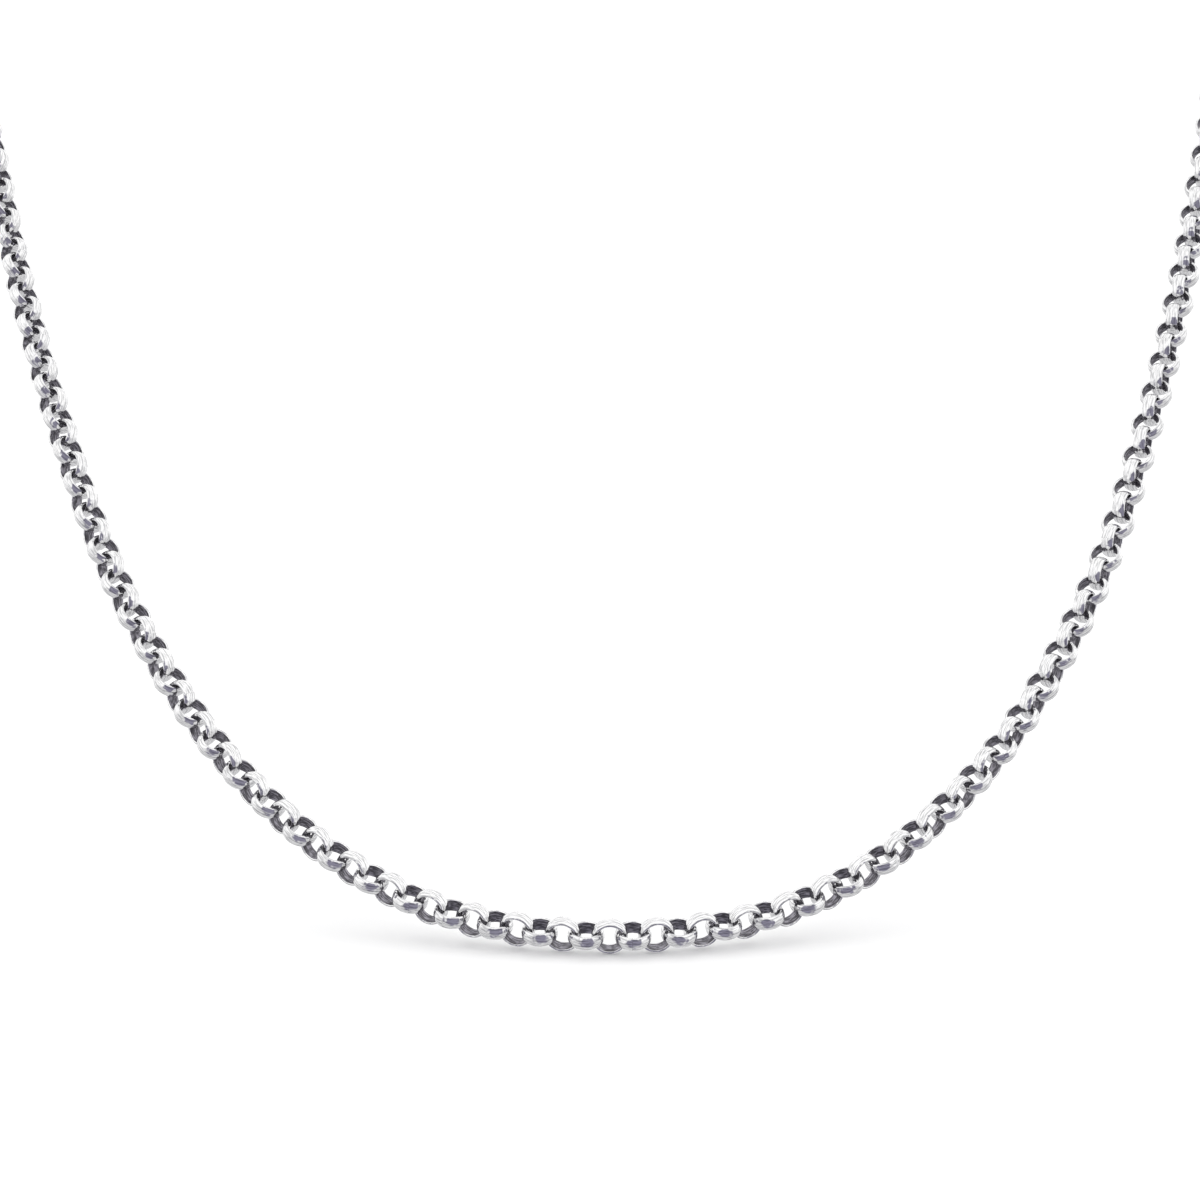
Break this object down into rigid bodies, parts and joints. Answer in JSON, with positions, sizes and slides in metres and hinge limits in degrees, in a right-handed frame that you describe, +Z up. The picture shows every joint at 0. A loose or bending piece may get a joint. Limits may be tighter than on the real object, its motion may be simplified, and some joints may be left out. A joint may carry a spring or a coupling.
{
  "type": "rolo chain necklace",
  "caption": "Closed loop of interlocked round links of half-round wire, in the form it has round a neck, with a round clasp at the nape and rings that join it.",
  "frame": {"origin": "the middle of the opening for the neck, halfway between the front and the nape", "axes": "+Z up, the front of the chain faces -Y, the nape with the clasp is at +Y, +X is the wearer's left"},
  "size_m": [0.1415, 0.1334, 0.123],
  "materials": {
    "silver_links": "polished silver, darker inside the links",
    "silver_clasp": "polished silver",
    "silver_rings": "polished silver"
  },
  "bodies": {
    "root": {"chain": "silver_links", "clasp": "silver_clasp", "clasp_ring": "silver_rings", "end_ring": "silver_rings"}
  },
  "joints": []
}
